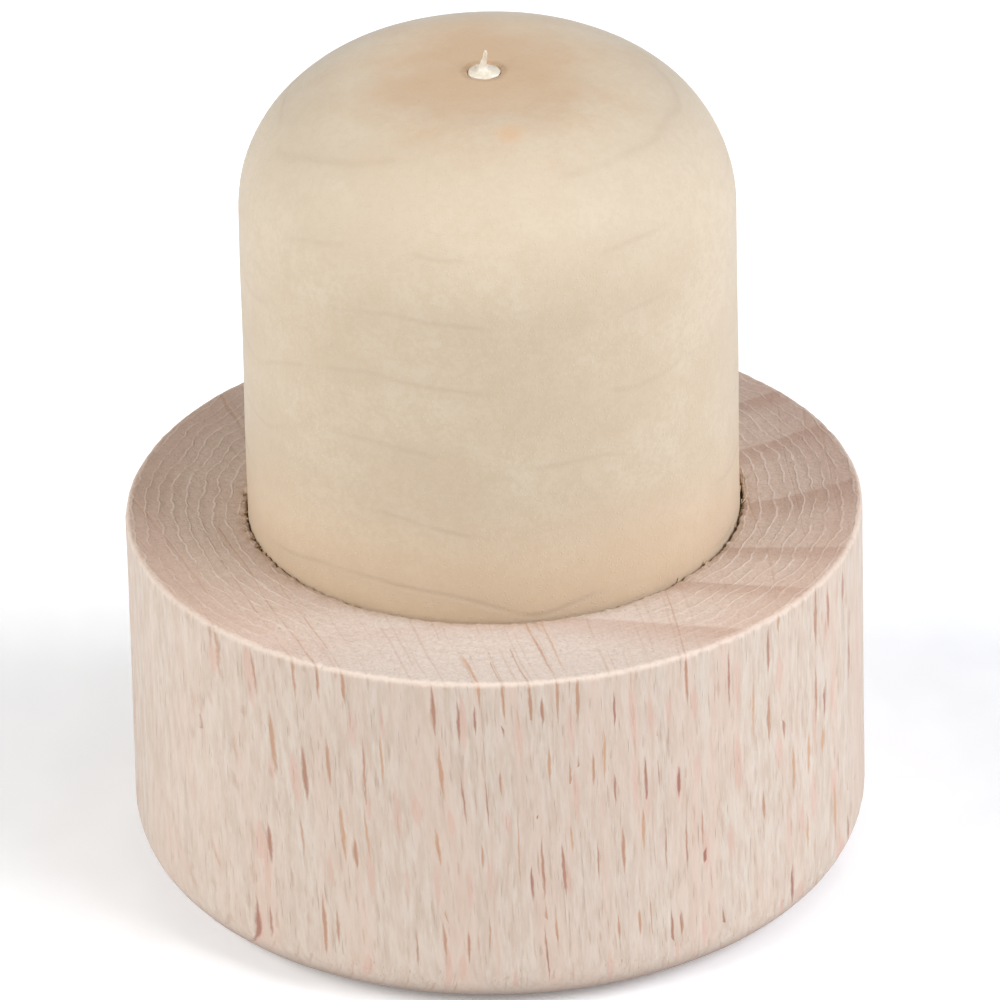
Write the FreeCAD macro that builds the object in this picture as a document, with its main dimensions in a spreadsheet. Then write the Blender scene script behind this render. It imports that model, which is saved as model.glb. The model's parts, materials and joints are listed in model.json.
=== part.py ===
import FreeCAD, Part
import Sketcher
import math
import os

# Bar-top bottle stopper: a turned beech head with a blind socket, a moulded stem of foamed synthetic
# cork standing in the socket, and the glue that holds it. Nothing on it moves: in use, the stem is
# pushed into the neck of a bottle until the shoulder of the head sits on the lip.
#
# The frame stands the stopper on its head. The origin is the middle of the flat resting face, +Z runs
# up the stem, and every size is in millimetres.

# Driving sizes. Each is written once here, and the sheet carries it to the features.
SIZES = [
    # alias, value, what it sets
    ("head_diameter", 29.2, "across the turned head"),
    ("head_height", 15.1, "from the resting face to the shoulder"),
    ("base_round", 2.6, "rounding round the resting face"),
    ("rim_break", 0.2, "broken edge round the shoulder"),
    ("stem_diameter", 19.5, "across the stem, for the common 18.5 bore of a bar-top bottle"),
    ("stem_reach", 19.15, "from the shoulder to the top of the tip"),
    ("tip_round", 5.8, "rounding that leads the tip into the neck"),
    ("tip_crown", 120.0, "radius of the shallow dome inside that rounding"),
    ("root_taper", 0.25, "how much narrower the root gets, on the radius, to start in the socket easily"),
    ("socket_depth", 6.5, "from the shoulder down to the floor of the socket"),
    ("socket_clearance", 0.15, "gap all round between the stem and the socket wall"),
    ("glue_bed", 0.3, "glue between the root and the floor of the socket"),
    ("glue_recess", 1.0, "how far below the shoulder the glue stops"),
    ("gate_diameter", 1.25, "recess that the injection gate leaves in the tip"),
    ("gate_depth", 0.35, "depth of that recess at its middle"),
    ("whisker_root", 0.6, "across the torn whisker of plastic where it leaves the recess"),
    ("whisker_end", 0.14, "across the whisker at its end"),
    ("whisker_height", 1.25, "from the floor of the recess to the end of the whisker"),
]

# Places that more than one sub-part uses, as expressions on the sheet.
STEM_RADIUS = "Sizes.stem_diameter / 2"
ROOT_RADIUS = "Sizes.stem_diameter / 2 - Sizes.root_taper"
ROOT_LENGTH = "Sizes.socket_depth - Sizes.glue_bed"
SOCKET_RADIUS = "Sizes.stem_diameter / 2 + Sizes.socket_clearance"
SOCKET_FLOOR = "Sizes.head_height - Sizes.socket_depth"
STEM_ROOT = "Sizes.head_height - Sizes.socket_depth + Sizes.glue_bed"
STEM_LENGTH = "Sizes.stem_reach + Sizes.socket_depth - Sizes.glue_bed"
GLUE_HEIGHT = "Sizes.socket_depth - Sizes.glue_recess"
# The root is a cone, and this is its radius where the glue stops.
WETTED_SHARE = f"({GLUE_HEIGHT} - Sizes.glue_bed) / ({ROOT_LENGTH})"
WETTED_RADIUS = f"{ROOT_RADIUS} + Sizes.root_taper * {WETTED_SHARE}"

# How a sketch names the points of its geometry, and its own origin and vertical axis.
START, END, CENTRE = 1, 2, 3
ORIGIN, VERTICAL = -1, -2

UP = FreeCAD.Vector(0, 0, 1)

doc = FreeCAD.newDocument("bar_top_stopper")


def fill_sheet():
    """The sheet of driving sizes: a name, a plain number and a remark in each row."""
    sheet = doc.addObject("Spreadsheet::Sheet", "Sizes")
    for row, (alias, size, remark) in enumerate(SIZES, start=1):
        sheet.set(f"A{row}", alias)
        sheet.set(f"B{row}", str(size))
        sheet.set(f"C{row}", remark)
        sheet.setAlias(f"B{row}", alias)
    doc.recompute()
    return sheet


sizes = fill_sheet()


def worth(expression):
    """What an expression on the sheet comes to now."""
    return float(sizes.evalExpression(expression))


def new_body(label, level=None):
    """A body for one sub-part, standing at a level that an expression gives."""
    body = doc.addObject("PartDesign::Body", label)
    body.Label = label
    body.Placement = FreeCAD.Placement()
    if level is not None:
        body.setExpression("Placement.Base.z", level)
    return body


def new_sketch(body, name, role, level=None):
    """An empty sketch on one of the body's origin planes, lifted off it where a level is given."""
    sketch = body.newObject("Sketcher::SketchObject", name)
    plane = next(feature for feature in body.Origin.OriginFeatures if feature.Role == role)
    sketch.AttachmentSupport = [(plane, "")]
    sketch.MapMode = "FlatFace"
    if level is not None:
        sketch.setExpression("AttachmentOffset.Base.z", level)
    return sketch


def relate(sketch, kind, *parts):
    """Adds a constraint that has no size, such as Coincident."""
    sketch.addConstraint(Sketcher.Constraint(kind, *parts))


def size(sketch, name, expression, kind, *parts):
    """Adds a constraint that has a size, names it and ties it to the sheet."""
    index = sketch.addConstraint(Sketcher.Constraint(kind, *parts, worth(expression)))
    sketch.renameConstraint(index, name)
    sketch.setExpression(f"Constraints.{name}", expression)


def circle(body, name, diameter, level=None):
    """A sketch of one circle round the Z axis."""
    sketch = new_sketch(body, name, "XY_Plane", level)
    ring = sketch.addGeometry(Part.Circle(FreeCAD.Vector(), UP, worth(diameter) / 2))
    relate(sketch, "Coincident", ring, CENTRE, ORIGIN, START)
    size(sketch, "across", diameter, "Diameter", ring)
    return sketch


def pad(body, name, sketch, length):
    """Raises a sketch into the first solid of its body."""
    feature = body.newObject("PartDesign::Pad", name)
    feature.Profile = sketch
    feature.setExpression("Length", length)
    sketch.Visibility = False
    doc.recompute()


def pocket(body, name, sketch, depth):
    """Sinks a sketch into its body, and stops if that takes nothing away."""
    before = body.Shape.Volume
    feature = body.newObject("PartDesign::Pocket", name)
    feature.Profile = sketch
    feature.setExpression("Length", depth)
    sketch.Visibility = False
    doc.recompute()
    if not body.Shape.Volume < before:
        raise RuntimeError(f"{name} cuts nothing")


def turn(body, name, sketch):
    """Turns a half section about the Z axis, as on a lathe."""
    feature = body.newObject("PartDesign::Revolution", name)
    feature.Profile = sketch
    feature.ReferenceAxis = (sketch, ["V_Axis"])
    feature.Angle = 360
    sketch.Visibility = False
    doc.recompute()


def round_edge(body, name, radius, level):
    """Rounds the widest circular edge that lies at one level of the body."""
    solid, height = body.Tip, worth(level)
    rings = [
        (edge.Curve.Radius, f"Edge{number}")
        for number, edge in enumerate(solid.Shape.Edges, start=1)
        if isinstance(edge.Curve, Part.Circle) and math.isclose(edge.Curve.Center.z, height, abs_tol=1e-6)
    ]
    feature = body.newObject("PartDesign::Fillet", name)
    feature.Base = (solid, [max(rings)[1]])
    feature.setExpression("Radius", radius)
    doc.recompute()


def line(sketch, start, end):
    """A straight edge between two (x, z) points."""
    return sketch.addGeometry(Part.LineSegment(FreeCAD.Vector(*start, 0), FreeCAD.Vector(*end, 0)))


def arc(sketch, centre, radius, first, last):
    """A round edge about an (x, z) centre, from one angle round to another, in radians."""
    whole = Part.Circle(FreeCAD.Vector(*centre, 0), UP, radius)
    return sketch.addGeometry(Part.ArcOfCircle(whole, first, last))


def chain(sketch, edges):
    """Joins each edge's end to the next one's start, and the last to the first."""
    for edge, following in zip(edges, edges[1:] + edges[:1]):
        relate(sketch, "Coincident", edge, END, following, START)


def make_head():
    """The turned beech head: a plain disc, bored for the stem, with its two outer edges rounded."""
    body = new_body("head")
    pad(body, "blank", circle(body, "blank_outline", "Sizes.head_diameter"), "Sizes.head_height")
    round_edge(body, "base_rounding", "Sizes.base_round", "0")
    round_edge(body, "rim_rounding", "Sizes.rim_break", "Sizes.head_height")
    mouth = circle(body, "socket_outline", f"2 * ({SOCKET_RADIUS})", "Sizes.head_height")
    pocket(body, "socket", mouth, "Sizes.socket_depth")
    return body


def stem_section(body):
    """Half of the stem's section: root, its taper, side, the tip's rounding, its crown and the axis."""
    radius, length = worth(STEM_RADIUS), worth(STEM_LENGTH)
    root_radius, root_length = worth(ROOT_RADIUS), worth(ROOT_LENGTH)
    rounding, dome = worth("Sizes.tip_round"), worth("Sizes.tip_crown")
    # The two arcs meet on the line through their centres, so both are tangent there.
    inset = radius - rounding
    rise = math.sqrt((dome - rounding) ** 2 - inset**2)
    meeting = math.atan2(rise, inset)
    side_top = length - dome + rise

    sketch = new_sketch(body, "half_section", "XZ_Plane")
    root = line(sketch, (0, 0), (root_radius, 0))
    taper = line(sketch, (root_radius, 0), (radius, root_length))
    side = line(sketch, (radius, root_length), (radius, side_top))
    corner = arc(sketch, (inset, side_top), rounding, 0, meeting)
    crown = arc(sketch, (0, length - dome), dome, meeting, math.pi / 2)
    axis = line(sketch, (0, length), (0, 0))

    relate(sketch, "Coincident", root, START, ORIGIN, START)
    relate(sketch, "Coincident", root, END, taper, START)
    relate(sketch, "Coincident", taper, END, side, START)
    relate(sketch, "Tangent", side, END, corner, START)
    relate(sketch, "Tangent", corner, END, crown, START)
    relate(sketch, "Coincident", crown, END, axis, START)
    relate(sketch, "Coincident", axis, END, root, START)
    relate(sketch, "Horizontal", root)
    relate(sketch, "Vertical", side)
    relate(sketch, "Vertical", axis)
    relate(sketch, "PointOnObject", crown, CENTRE, VERTICAL)
    size(sketch, "radius", STEM_RADIUS, "DistanceX", ORIGIN, START, side, START)
    size(sketch, "root_radius", ROOT_RADIUS, "DistanceX", ORIGIN, START, taper, START)
    size(sketch, "root_length", ROOT_LENGTH, "DistanceY", ORIGIN, START, taper, END)
    size(sketch, "length", STEM_LENGTH, "DistanceY", ORIGIN, START, axis, START)
    size(sketch, "tip_round", "Sizes.tip_round", "Radius", corner)
    size(sketch, "tip_crown", "Sizes.tip_crown", "Radius", crown)
    return sketch


def make_stem():
    """The moulded stem, standing on its bed of glue, with the gate's recess and torn whisker in its tip."""
    body = new_body("stem", STEM_ROOT)
    turn(body, "moulding", stem_section(body))
    mouth = circle(body, "gate_outline", "Sizes.gate_diameter", STEM_LENGTH)
    pocket(body, "gate_recess", mouth, "Sizes.gate_depth")
    whisker = body.newObject("PartDesign::AdditiveCone", "gate_whisker")
    whisker.setExpression("Radius1", "Sizes.whisker_root / 2")
    whisker.setExpression("Radius2", "Sizes.whisker_end / 2")
    whisker.setExpression("Height", "Sizes.whisker_height")
    whisker.setExpression("Placement.Base.z", f"{STEM_LENGTH} - Sizes.gate_depth")
    doc.recompute()
    return body


def make_glue():
    """The glue: a bed under the stem and a wall round its taper, up to just below the shoulder."""
    body = new_body("glue", SOCKET_FLOOR)
    outer, inner, foot = worth(SOCKET_RADIUS), worth(WETTED_RADIUS), worth(ROOT_RADIUS)
    bed, top = worth("Sizes.glue_bed"), worth(GLUE_HEIGHT)

    sketch = new_sketch(body, "half_section", "XZ_Plane")
    floor = line(sketch, (0, 0), (outer, 0))
    wall = line(sketch, (outer, 0), (outer, top))
    lip = line(sketch, (outer, top), (inner, top))
    taper = line(sketch, (inner, top), (foot, bed))
    root = line(sketch, (foot, bed), (0, bed))
    axis = line(sketch, (0, bed), (0, 0))

    chain(sketch, [floor, wall, lip, taper, root, axis])
    relate(sketch, "Coincident", floor, START, ORIGIN, START)
    for level in (floor, lip, root):
        relate(sketch, "Horizontal", level)
    for upright in (wall, axis):
        relate(sketch, "Vertical", upright)
    size(sketch, "socket_radius", SOCKET_RADIUS, "DistanceX", ORIGIN, START, wall, START)
    size(sketch, "height", GLUE_HEIGHT, "DistanceY", ORIGIN, START, wall, END)
    size(sketch, "wetted_radius", WETTED_RADIUS, "DistanceX", ORIGIN, START, taper, START)
    size(sketch, "root_radius", ROOT_RADIUS, "DistanceX", ORIGIN, START, taper, END)
    size(sketch, "bed", "Sizes.glue_bed", "DistanceY", ORIGIN, START, axis, START)
    turn(body, "filling", sketch)
    return body


def check(bodies):
    """Stops before anything is written if an object failed or a sub-part isn't one sound solid."""
    for item in doc.Objects:
        if "Invalid" in item.State or "Error" in item.State:
            raise RuntimeError(f"{item.Label}: {item.State}")
        if item.TypeId == "Sketcher::SketchObject" and not item.FullyConstrained:
            raise RuntimeError(f"{item.Label}: the sketch has loose geometry")
    for body in bodies:
        shape = body.Shape
        if shape.isNull() or not shape.isValid() or len(shape.Solids) != 1:
            raise RuntimeError(f"{body.Label}: not one valid solid")


def write(bodies):
    """One STEP file for each sub-part, named by its label."""
    os.makedirs("parts", exist_ok=True)
    for body in bodies:
        body.Shape.exportStep(f"parts/{body.Label}.step")
        box = body.Shape.BoundBox
        print(f"{body.Label}: {body.Shape.Volume:.1f} mm3, z {box.ZMin:.2f} to {box.ZMax:.2f}")


pieces = [make_head(), make_stem(), make_glue()]
doc.recompute()
check(pieces)
write(pieces)
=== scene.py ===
# %% [markdown]
# # A bar-top bottle stopper
# The stopper stands upside down on its turned beech head. A moulded stem of foamed synthetic cork
# rises out of a blind socket in the head, with the torn whisker of its injection gate in the tip.
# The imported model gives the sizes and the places. This file gives the same pieces their real
# surfaces: turned wood with its rays and fibres, moulded foam, torn plastic and hot-melt glue.

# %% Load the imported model
import json
import math
import random

import bpy
from mathutils import Matrix, Vector


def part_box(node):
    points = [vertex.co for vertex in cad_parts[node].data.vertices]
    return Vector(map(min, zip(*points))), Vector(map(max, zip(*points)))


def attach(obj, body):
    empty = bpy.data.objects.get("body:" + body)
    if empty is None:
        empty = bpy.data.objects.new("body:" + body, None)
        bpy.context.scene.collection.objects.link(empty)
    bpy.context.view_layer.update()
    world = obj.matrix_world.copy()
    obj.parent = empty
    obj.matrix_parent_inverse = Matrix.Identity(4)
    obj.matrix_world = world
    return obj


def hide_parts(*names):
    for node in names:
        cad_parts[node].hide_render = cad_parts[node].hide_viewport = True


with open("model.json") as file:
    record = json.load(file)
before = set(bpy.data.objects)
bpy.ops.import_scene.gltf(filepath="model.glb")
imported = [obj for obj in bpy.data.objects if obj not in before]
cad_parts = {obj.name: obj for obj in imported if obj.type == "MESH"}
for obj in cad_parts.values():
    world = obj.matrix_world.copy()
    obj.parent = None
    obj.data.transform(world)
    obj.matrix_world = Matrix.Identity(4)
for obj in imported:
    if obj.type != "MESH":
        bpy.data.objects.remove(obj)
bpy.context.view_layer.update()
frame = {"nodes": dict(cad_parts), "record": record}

# %% [markdown]
# ## Sizes
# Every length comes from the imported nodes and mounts, so that a changed part moves the surfaces with
# it. The few that a box can't tell, such as the rounding of an edge, are named here in millimetres.

# %% Sizes from the frame
MM = 0.001
head_low, head_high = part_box("head")
stem_low, stem_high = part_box("stem")
mounts = {mount["name"]: mount for mount in frame["record"]["mounts"]}

HEAD_RADIUS = (head_high[0] - head_low[0]) / 2
SHOULDER = head_high[2]
STEM_RADIUS = mounts["stem"]["dims"]["r_mm"] * MM
STEM_ROOT = stem_low[2]

BASE_ROUND = 2.6 * MM
RIM_BREAK = 0.2 * MM
TIP_ROUND = 5.8 * MM
TIP_CROWN = 120.0 * MM
ROOT_RADIUS = 9.5 * MM
SOCKET_RADIUS = STEM_RADIUS + 0.15 * MM
SOCKET_FLOOR = STEM_ROOT - 0.3 * MM
GATE_RADIUS = 0.65 * MM
GATE_DEPTH = 0.35 * MM
WHISKER_HEIGHT = 1.25 * MM
RING_PITCH = 0.54 * MM
GATE_FLOOR = stem_high[2] - WHISKER_HEIGHT
TIP_TOP = GATE_FLOOR + GATE_DEPTH
print("shoulder at", round(SHOULDER / MM, 2), "mm, top of the tip at", round(TIP_TOP / MM, 2), "mm")

# %% [markdown]
# ## Camera
# A long lens some half a metre away looks down on the stopper by nearly 29 degrees, along +Y. The
# camera is leaned very slightly to one side, as a hand-set camera is. Its axes are built from the
# direction of view, so that no rotation has to be guessed.

# %% Camera
VIEW_ELEVATION = math.radians(28.85)
VIEW_ROLL = math.radians(-1.3)
VIEW_DISTANCE = 35.65 * HEAD_RADIUS
VIEW_TARGET = Vector((0.0165, 0.0, 1.04)) * HEAD_RADIUS
SENSOR = 36.0
LENS = 472.9

forward = Vector((0.0, math.cos(VIEW_ELEVATION), -math.sin(VIEW_ELEVATION)))
level_up = Vector((0.0, math.sin(VIEW_ELEVATION), math.cos(VIEW_ELEVATION)))
level_right = Vector((1.0, 0.0, 0.0))
right = level_right * math.cos(VIEW_ROLL) + level_up * math.sin(VIEW_ROLL)
up = level_up * math.cos(VIEW_ROLL) - level_right * math.sin(VIEW_ROLL)

camera_data = bpy.data.cameras.new("camera")
camera_data.sensor_width = SENSOR
camera_data.lens = LENS
camera_data.clip_start = 0.01
camera = bpy.data.objects.new("camera", camera_data)
camera.matrix_world = Matrix((right, up, -forward)).transposed().to_4x4()
camera.location = VIEW_TARGET - forward * VIEW_DISTANCE
bpy.context.scene.collection.objects.link(camera)
bpy.context.scene.camera = camera
print("camera at", [round(value, 3) for value in camera.location])

# %% [markdown]
# ## Studio
# Two large soft boxes stand left and right of the camera and look down on the stopper from 35
# degrees. Each side of the shoulder is shaded by the stem from one of them, which is why the
# shoulder is bright in front and dark at both sides. A weak box high on the right lights the tip,
# another lights the back, and two weak, colder ones low behind lift the outline.
# The colours are shown as they are, with no film curve, so that a white floor stays white.


# %% Lights and world
LAMP_DISTANCE = 0.95
LAMP_HEIGHT = 0.5
WORLD_GLOW = 0.04
COOL = (0.97, 0.99, 1.05)
COLD = (0.75, 0.92, 1.15)


def soft_box(name, azimuth, elevation, width, power, tint=(1.0, 1.0, 1.0)):
    """A lamp that faces the stopper. Azimuth 0 is in front, where the camera is."""
    around = math.radians(azimuth)
    above = math.radians(elevation)
    level = math.cos(above)
    offset = Vector((level * math.sin(around), -level * math.cos(around), math.sin(above)))
    data = bpy.data.lights.new(name, "AREA")
    data.shape = "RECTANGLE"
    data.size = width
    data.size_y = LAMP_HEIGHT
    data.energy = power
    data.color = tint
    lamp = bpy.data.objects.new(name, data)
    lamp.location = VIEW_TARGET + offset * LAMP_DISTANCE
    lamp.rotation_euler = (-offset).to_track_quat("-Z", "Y").to_euler()
    bpy.context.scene.collection.objects.link(lamp)


soft_box("soft_box_right", 67, 35, 0.75, 9.6, COOL)
soft_box("soft_box_left", -67, 35, 0.75, 8.5)
soft_box("high_box", 60, 68, 0.5, 1.7)
soft_box("back_box", 180, 40, 0.6, 0.35)
soft_box("low_box_right", 112, 12, 0.5, 0.5, COLD)
soft_box("low_box_left", -112, 12, 0.5, 1.0, COLD)

studio = bpy.data.worlds.new("studio")
bpy.context.scene.world = studio
studio.use_nodes = True
backdrop = studio.node_tree.nodes["Background"]
backdrop.inputs["Color"].default_value = (1.0, 1.0, 1.0, 1.0)
backdrop.inputs["Strength"].default_value = WORLD_GLOW
bpy.context.scene.view_settings.view_transform = "Standard"
print("six soft boxes in a dim white studio")

# %% [markdown]
# ## Node helpers
# The finishes are built from many small shader nodes. These helpers add a node, fill its inputs with
# numbers or links, and give back the output, so that a pattern reads like a formula.


# %% Colours, nodes and sockets
def colour(red, green, blue):
    """A colour given in the 0 to 255 values of a screen, as the linear one that a shader wants."""
    def linear(value):
        share = value / 255
        return share / 12.92 if share <= 0.04045 else ((share + 0.055) / 1.055) ** 2.4

    return (linear(red), linear(green), linear(blue), 1.0)


def add_node(tree, kind, **settings):
    """A new node with its fields set, laid out in a row behind the others."""
    node = tree.nodes.new(kind)
    node.location = (180 * (len(tree.nodes) % 24), -220 * (len(tree.nodes) // 24))
    for field, value in settings.items():
        setattr(node, field, value)
    return node


def fill(tree, socket, value):
    """Links another node's output to a socket, or sets a plain value on it."""
    if isinstance(value, bpy.types.NodeSocket):
        tree.links.new(value, socket)
    else:
        socket.default_value = value


print("a mid grey is", round(colour(128, 128, 128)[0], 3), "to a shader")


# %% Sums of numbers and vectors
def maths(tree, operation, *values, clamp=False):
    """One Math node."""
    node = add_node(tree, "ShaderNodeMath", operation=operation, use_clamp=clamp)
    for socket, value in zip(node.inputs, values):
        fill(tree, socket, value)
    return node.outputs[0]


def vectors(tree, operation, *values):
    """One Vector Math node."""
    node = add_node(tree, "ShaderNodeVectorMath", operation=operation)
    for socket, value in zip(node.inputs, values):
        fill(tree, socket, value)
    return node.outputs["Value" if operation in ("LENGTH", "DOT_PRODUCT") else "Vector"]


def parts_of(tree, vector):
    """The X, Y and Z of a vector."""
    node = add_node(tree, "ShaderNodeSeparateXYZ")
    fill(tree, node.inputs[0], vector)
    return node.outputs


def whole_of(tree, x, y, z):
    """A vector from its X, Y and Z."""
    node = add_node(tree, "ShaderNodeCombineXYZ")
    for socket, value in zip(node.inputs, (x, y, z)):
        fill(tree, socket, value)
    return node.outputs[0]


def ease(tree, value, low, high):
    """0 below low and 1 above high, with a smooth slope between. It falls if low is above high."""
    node = add_node(tree, "ShaderNodeMapRange", interpolation_type="SMOOTHSTEP")
    for label, number in (("Value", value), ("From Min", low), ("From Max", high)):
        fill(tree, node.inputs[label], number)
    return node.outputs[0]


print("sums ready")


# %% Cloud patterns and mixed colours
def noise(tree, vector, scale=1.0, detail=2.0, roughness=0.5):
    """A cloud pattern about 0.5, with features about 1 / scale across."""
    node = add_node(tree, "ShaderNodeTexNoise")
    for label, value in (("Vector", vector), ("Scale", scale), ("Detail", detail), ("Roughness", roughness)):
        fill(tree, node.inputs[label], value)
    return node.outputs["Fac"]


def stretched(tree, vector, scales, detail=2.0, roughness=0.5):
    """A cloud pattern with its own number of features to the millimetre along X, Y and Z."""
    return noise(tree, vectors(tree, "MULTIPLY", vector, scales), detail=detail, roughness=roughness)


def blend(tree, share, first, second):
    """Mixes two colours by a share from 0 to 1."""
    node = add_node(tree, "ShaderNodeMix", data_type="RGBA")
    fill(tree, node.inputs[0], share)
    fill(tree, node.inputs[6], first)
    fill(tree, node.inputs[7], second)
    return node.outputs[2]


def tinted(tree, base, mask, strength, hue):
    """A colour with another one mixed in where a mask is, as far as a strength from 0 to 1."""
    return blend(tree, maths(tree, "MULTIPLY", mask, strength), base, hue)


print("patterns ready")


# %% Groups and materials
def new_group(name, inputs, outputs):
    """An empty shader node group with named sockets. Gives its tree, its inputs and its outputs."""
    tree = bpy.data.node_groups.new(name, "ShaderNodeTree")
    for label, kind, value in inputs:
        socket = tree.interface.new_socket(label, in_out="INPUT", socket_type=kind)
        if value is not None:
            socket.default_value = value
    for label, kind in outputs:
        tree.interface.new_socket(label, in_out="OUTPUT", socket_type=kind)
    return tree, add_node(tree, "NodeGroupInput").outputs, add_node(tree, "NodeGroupOutput").inputs


def place_group(tree, group, **values):
    """A group placed in a material, its inputs given by name with _ for a space. Gives its outputs."""
    node = add_node(tree, "ShaderNodeGroup", node_tree=group)
    for label, value in values.items():
        fill(tree, node.inputs[label.replace("_", " ")], value)
    return node.outputs


def new_material(name):
    """A material with one Principled BSDF. Gives the material, its tree, its shader and places in mm."""
    material = bpy.data.materials.new(name)
    material.use_nodes = True
    tree = material.node_tree
    shader = tree.nodes["Principled BSDF"]
    coordinates = add_node(tree, "ShaderNodeTexCoord").outputs["Object"]
    return material, tree, shader, vectors(tree, "MULTIPLY", coordinates, (1 / MM, 1 / MM, 1 / MM))


def raise_surface(tree, shader, height, depth):
    """Feeds a height from 0 to 1 to the shader's normal through a Bump node, depth metres deep."""
    node = add_node(tree, "ShaderNodeBump")
    node.inputs["Distance"].default_value = depth
    node.inputs["Strength"].default_value = 1.0
    fill(tree, node.inputs["Height"], height)
    fill(tree, shader.inputs["Normal"], node.outputs[0])


print("groups and materials ready")

# %% [markdown]
# ## Patterns that the finishes share
# Solid patterns are worked out from where a point is, in millimetres, so they run through the piece
# like the real thing: a ray that shows as a fleck on the side of the head goes on as a line across
# its end grain. A pattern painted on the surface could never join up like that.


# %% Grain: where a point lies in the tree that the head came from
PITH = (18.0, -86.0)
FIBRE_LEAN = 0.035
FIBRE_UPRIGHT = 14.0
FIBRE_WANDER = 0.8
HEAD_MIDDLE = 8.0


def build_grain():
    """Turns a place in the head into millimetres across the rays, out from the pith and up the fibres."""
    tree, given, result = new_group(
        "grain",
        [("Place", "NodeSocketVector", None)],
        [("Grain", "NodeSocketVector")],
    )
    x, y, z = parts_of(tree, given["Place"])
    # The fibres lean most on the left of the head, and stand upright at its far right.
    lean = maths(tree, "MULTIPLY_ADD", x, -FIBRE_LEAN / FIBRE_UPRIGHT, FIBRE_LEAN)
    straight = maths(tree, "MULTIPLY_ADD", maths(tree, "SUBTRACT", z, HEAD_MIDDLE), lean, x)
    sideways = maths(tree, "SUBTRACT", straight, PITH[0])
    outwards = maths(tree, "SUBTRACT", y, PITH[1])
    radius = vectors(tree, "LENGTH", whole_of(tree, sideways, outwards, 0.0))
    across = maths(tree, "MULTIPLY", maths(tree, "ARCTAN2", sideways, outwards), math.hypot(*PITH))
    wander = stretched(tree, given["Place"], (0.35, 0.12, 0.08))
    across = maths(tree, "MULTIPLY_ADD", wander, FIBRE_WANDER, across)
    fill(tree, result["Grain"], whole_of(tree, across, radius, z))
    return tree


grain_group = build_grain()
print("grain centred", PITH, "mm from the axis")


# %% Rays: the spindle-shaped flecks of beech
RAY_RANDOMNESS = 0.78
RAY_RAGGED = 0.14


def build_rays():
    """A mask of thin sheets along the grain, each at a random place and of a random size and tone."""
    tree, given, result = new_group(
        "rays",
        [
            ("Grain", "NodeSocketVector", None),
            ("Spacing", "NodeSocketVector", (1.0, 14.0, 3.2)),
            ("Half Height", "NodeSocketFloat", 0.9),
            ("Half Width", "NodeSocketFloat", 0.1),
            ("Share", "NodeSocketFloat", 0.6),
        ],
        [("Mask", "NodeSocketFloat"), ("Tone", "NodeSocketFloat")],
    )
    cells = vectors(tree, "DIVIDE", given["Grain"], given["Spacing"])
    voronoi = add_node(tree, "ShaderNodeTexVoronoi")
    voronoi.inputs["Scale"].default_value = 1.0
    voronoi.inputs["Randomness"].default_value = RAY_RANDOMNESS
    fill(tree, voronoi.inputs["Vector"], cells)
    offset = vectors(tree, "SUBTRACT", cells, voronoi.outputs["Position"])
    sideways, _, upwards = parts_of(tree, vectors(tree, "MULTIPLY", offset, given["Spacing"]))
    chance = add_node(tree, "ShaderNodeSeparateColor")
    fill(tree, chance.inputs[0], voronoi.outputs["Color"])
    first, second, third = chance.outputs
    height = maths(tree, "MULTIPLY", given["Half Height"], maths(tree, "MULTIPLY_ADD", first, 0.6, 0.4))
    width = maths(tree, "MULTIPLY", given["Half Width"], maths(tree, "MULTIPLY_ADD", second, 0.6, 0.4))
    # A lens: full width in the middle, running out to a point above and below.
    reach = maths(tree, "DIVIDE", upwards, height)
    fullness = maths(tree, "SUBTRACT", 1.0, maths(tree, "MULTIPLY", reach, reach))
    lens = maths(tree, "MULTIPLY", width, fullness)
    ragged = stretched(tree, given["Grain"], (7.0, 0.4, 2.2), detail=3.0)
    ragged = maths(tree, "MULTIPLY_ADD", ragged, RAY_RAGGED, -RAY_RAGGED / 2)
    sideways = maths(tree, "ADD", sideways, ragged)
    inside = maths(tree, "SUBTRACT", lens, maths(tree, "ABSOLUTE", sideways))
    sheet = ease(tree, inside, -0.045, 0.05)
    kept = maths(tree, "LESS_THAN", third, given["Share"])
    fill(tree, result["Mask"], maths(tree, "MULTIPLY", sheet, kept))
    fill(tree, result["Tone"], maths(tree, "DIVIDE", third, given["Share"], clamp=True))
    return tree


rays_group = build_rays()
print("rays built")


# %% Edge mask for wear and painted light: a ring round the Z axis
def build_edge():
    """A mask that is 1 on a circular edge of the piece and falls away from it, a little unevenly."""
    tree, given, result = new_group(
        "edge_wear_and_light",
        [
            ("Place", "NodeSocketVector", None),
            ("Radius", "NodeSocketFloat", 10.0),
            ("Level", "NodeSocketFloat", 10.0),
            ("Reach", "NodeSocketFloat", 0.5),
            ("Unevenness", "NodeSocketFloat", 0.5),
            ("Grit", "NodeSocketFloat", 2.0),
        ],
        [("Mask", "NodeSocketFloat")],
    )
    x, y, z = parts_of(tree, given["Place"])
    out = maths(tree, "SUBTRACT", vectors(tree, "LENGTH", whole_of(tree, x, y, 0.0)), given["Radius"])
    above = maths(tree, "SUBTRACT", z, given["Level"])
    away = vectors(tree, "LENGTH", whole_of(tree, out, above, 0.0))
    wobble = maths(tree, "SUBTRACT", noise(tree, given["Place"], given["Grit"], 3.0, 0.6), 0.5)
    away = maths(tree, "MULTIPLY_ADD", wobble, given["Unevenness"], away)
    fill(tree, result["Mask"], ease(tree, away, given["Reach"], 0.0))
    return tree


edge_group = build_edge()
print("worn edge built")


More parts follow.
